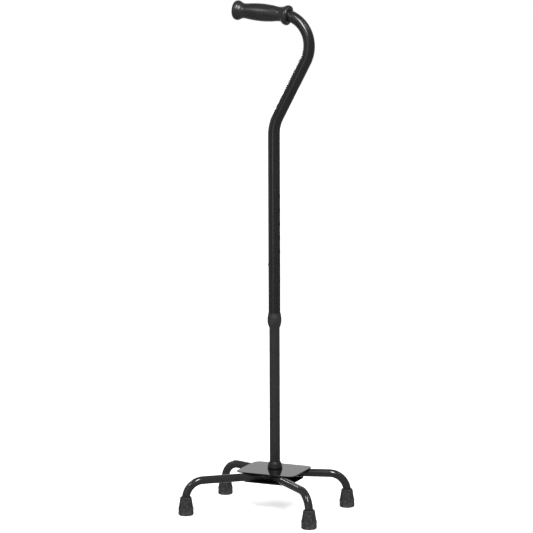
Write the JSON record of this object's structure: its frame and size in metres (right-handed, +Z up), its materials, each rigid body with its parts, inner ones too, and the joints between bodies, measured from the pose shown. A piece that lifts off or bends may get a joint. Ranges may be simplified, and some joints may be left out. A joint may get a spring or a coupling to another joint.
{
  "type": "quad walking cane",
  "caption": "Walking cane with an offset handle and vinyl grip on a telescoping shaft, standing on a plate base with splayed tube legs and rubber feet.",
  "frame": {"origin": "centre of the footprint on the floor, which is the bottom of the bounding box; the stem stands at x = 0, y = +0.0395", "axes": "+Z up along the stem; the grip's free end points to -X; the two widely splayed legs are towards -Y and the two short legs towards +Y"},
  "size_m": [0.2794, 0.2034, 0.9367],
  "materials": {
    "powder_coated_tube": "satin black powder coat on aluminium tube",
    "powder_coated_leg": "satin black powder coat on steel tube",
    "gloss_plate": "gloss black enamel on steel plate",
    "grip_vinyl": "semi-gloss moulded soft vinyl",
    "collar_plastic": "satin moulded plastic",
    "inner_plastic": "moulded plastic",
    "foot_rubber": "matte moulded rubber",
    "spring_steel": "bright spring steel",
    "button_steel": "polished steel",
    "zinc_steel": "zinc plated steel"
  },
  "bodies": {
    "base": {"lower_tube": "powder_coated_tube", "glide_cap": "inner_plastic", "button_leaf_spring": "spring_steel", "base_collar": "collar_plastic", "stem_socket": "zinc_steel", "top_plate": "gloss_plate", "lower_plate": "gloss_plate", "front_leg_bow": "powder_coated_leg", "rear_leg_bow": "powder_coated_leg", "spacer_sleeve": "zinc_steel", "bolt_washer": "zinc_steel", "spring_washer": "spring_steel", "centre_bolt": "zinc_steel", "rubber_foot_front_left": "foot_rubber", "rubber_foot_front_right": "foot_rubber", "rubber_foot_rear_left": "foot_rubber", "rubber_foot_rear_right": "foot_rubber", "foot_disc_front_left": "zinc_steel", "foot_disc_front_right": "zinc_steel", "foot_disc_rear_left": "zinc_steel", "foot_disc_rear_right": "zinc_steel"},
    "handle": {"handle_tube": "powder_coated_tube", "hand_grip": "grip_vinyl", "handle_end_plug": "inner_plastic", "split_collet": "inner_plastic"},
    "collar": {"locking_collar": "collar_plastic"},
    "button": {"snap_button": "button_steel"}
  },
  "joints": [
    {"name": "height_slide", "type": "slide", "parent": "base", "child": "handle", "axis": [0, 0, 1], "range_m": [-0.127, 0.0254]},
    {"name": "collar_twist", "type": "hinge", "parent": "handle", "child": "collar", "pos_m": [0, 0.0395, 0.351], "axis": [0, 0, 1], "range_deg": [0, 180]},
    {"name": "button_press", "type": "slide", "parent": "base", "child": "button", "axis": [1, 0, 0], "range_m": [0, 0.003], "stiffness_N_per_m": 800, "springref_m": -0.003, "deforming": ["button_leaf_spring"]}
  ]
}
